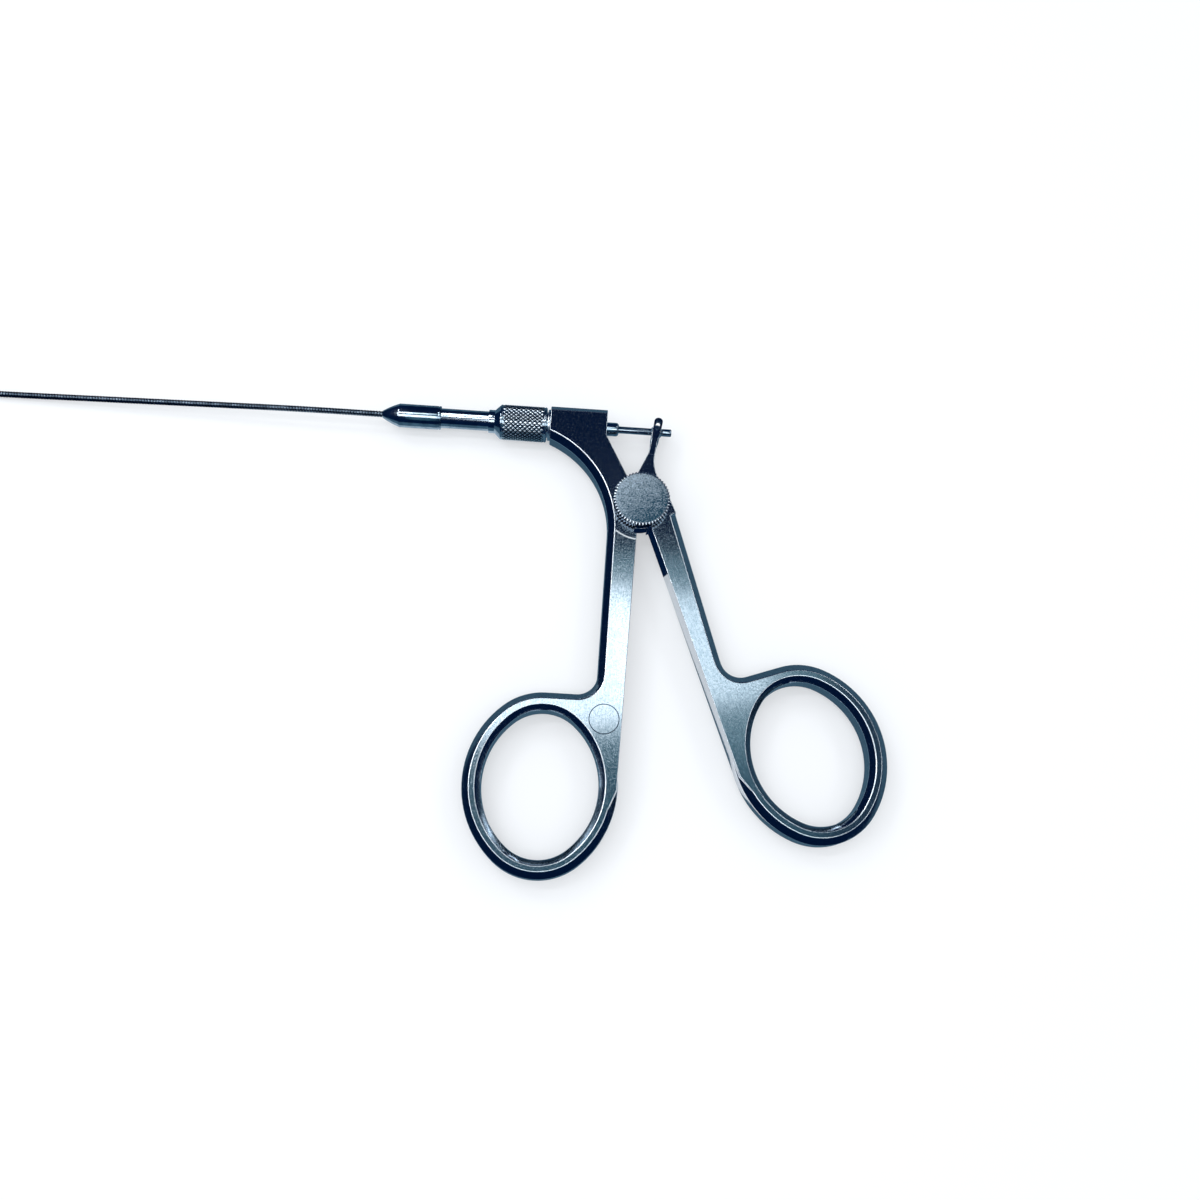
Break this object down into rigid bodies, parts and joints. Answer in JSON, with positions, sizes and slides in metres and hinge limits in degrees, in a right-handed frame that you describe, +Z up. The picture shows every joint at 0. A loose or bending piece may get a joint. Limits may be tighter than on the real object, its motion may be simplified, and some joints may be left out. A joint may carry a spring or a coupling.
{
  "type": "grasping forceps",
  "caption": "Ring-handled grasping forceps with a slim flexible coil shaft, knurled coupling nut and thumb screw pivot, and serrated jaws worked by a pull wire.",
  "frame": {"origin": "on the handles' pivot axis, at the flat underside of the fixed handle", "axes": "+X along the barrel from the jaws towards the handles, +Y from the pivot towards the barrel, +Z up from the face that lies on the table"},
  "size_m": [0.4402, 0.0926, 0.0093],
  "materials": {
    "satin_steel": "satin",
    "polished_steel": "polished",
    "knurled_steel": "knurled",
    "coil_steel": "drawn wire",
    "seal_rubber": "matt"
  },
  "bodies": {
    "fixed_frame": {"fixed_handle": "satin_steel", "pivot_washer": "polished_steel", "threaded_spigot": "polished_steel", "seat_ring": "polished_steel", "shaft_seal": "seal_rubber", "rear_barrel": "polished_steel", "front_barrel": "polished_steel", "rear_bush": "polished_steel", "coil_sheath": "coil_steel", "end_ferrule": "polished_steel", "jaw_housing": "polished_steel", "jaw_pin": "polished_steel"},
    "thumb_handle": {"moving_handle": "satin_steel"},
    "thumb_screw": {"pivot_screw": "satin_steel"},
    "nut": {"coupling_nut": "knurled_steel"},
    "pull_train": {"pull_rod": "polished_steel", "rod_ball": "polished_steel", "rod_tail": "polished_steel", "cross_pin": "polished_steel", "wire_clamp": "polished_steel", "pull_wire": "coil_steel", "drive_tongue": "polished_steel", "drive_pin": "polished_steel"},
    "first_jaw": {"upper_jaw": "satin_steel"},
    "second_jaw": {"lower_jaw": "satin_steel"}
  },
  "joints": [
    {"name": "handle_pivot", "type": "hinge", "parent": "fixed_frame", "child": "thumb_handle", "pos_m": [0, 0, 0.003], "axis": [0, 0, -1], "range_deg": [0, 12]},
    {"name": "rod_slide", "type": "slide", "parent": "fixed_frame", "child": "pull_train", "axis": [1, 0, 0], "range_m": [0, 0.00368]},
    {"name": "first_jaw_hinge", "type": "hinge", "parent": "fixed_frame", "child": "first_jaw", "pos_m": [-0.3826, 0.0163, 0.0003], "axis": [0, 0, 1], "range_deg": [0, 16]},
    {"name": "second_jaw_hinge", "type": "hinge", "parent": "fixed_frame", "child": "second_jaw", "pos_m": [-0.3826, 0.0163, 0.0003], "axis": [0, 0, -1], "range_deg": [0, 16]},
    {"name": "thumb_screw_turn", "type": "hinge", "parent": "fixed_frame", "child": "thumb_screw", "pos_m": [0, 0, 0.003], "axis": [0, 0, 1], "range_deg": [0, 360]},
    {"name": "coupling_nut_turn", "type": "hinge", "parent": "fixed_frame", "child": "nut", "pos_m": [-0.024, 0.0163, 0.003], "axis": [1, 0, 0], "range_deg": [0, 360]}
  ],
  "couplings": [
    {"joint": "rod_slide", "follows": "handle_pivot", "m_per_rad": 0.017558},
    {"joint": "first_jaw_hinge", "follows": "handle_pivot", "ratio": 1.3333},
    {"joint": "second_jaw_hinge", "follows": "handle_pivot", "ratio": 1.3333}
  ]
}
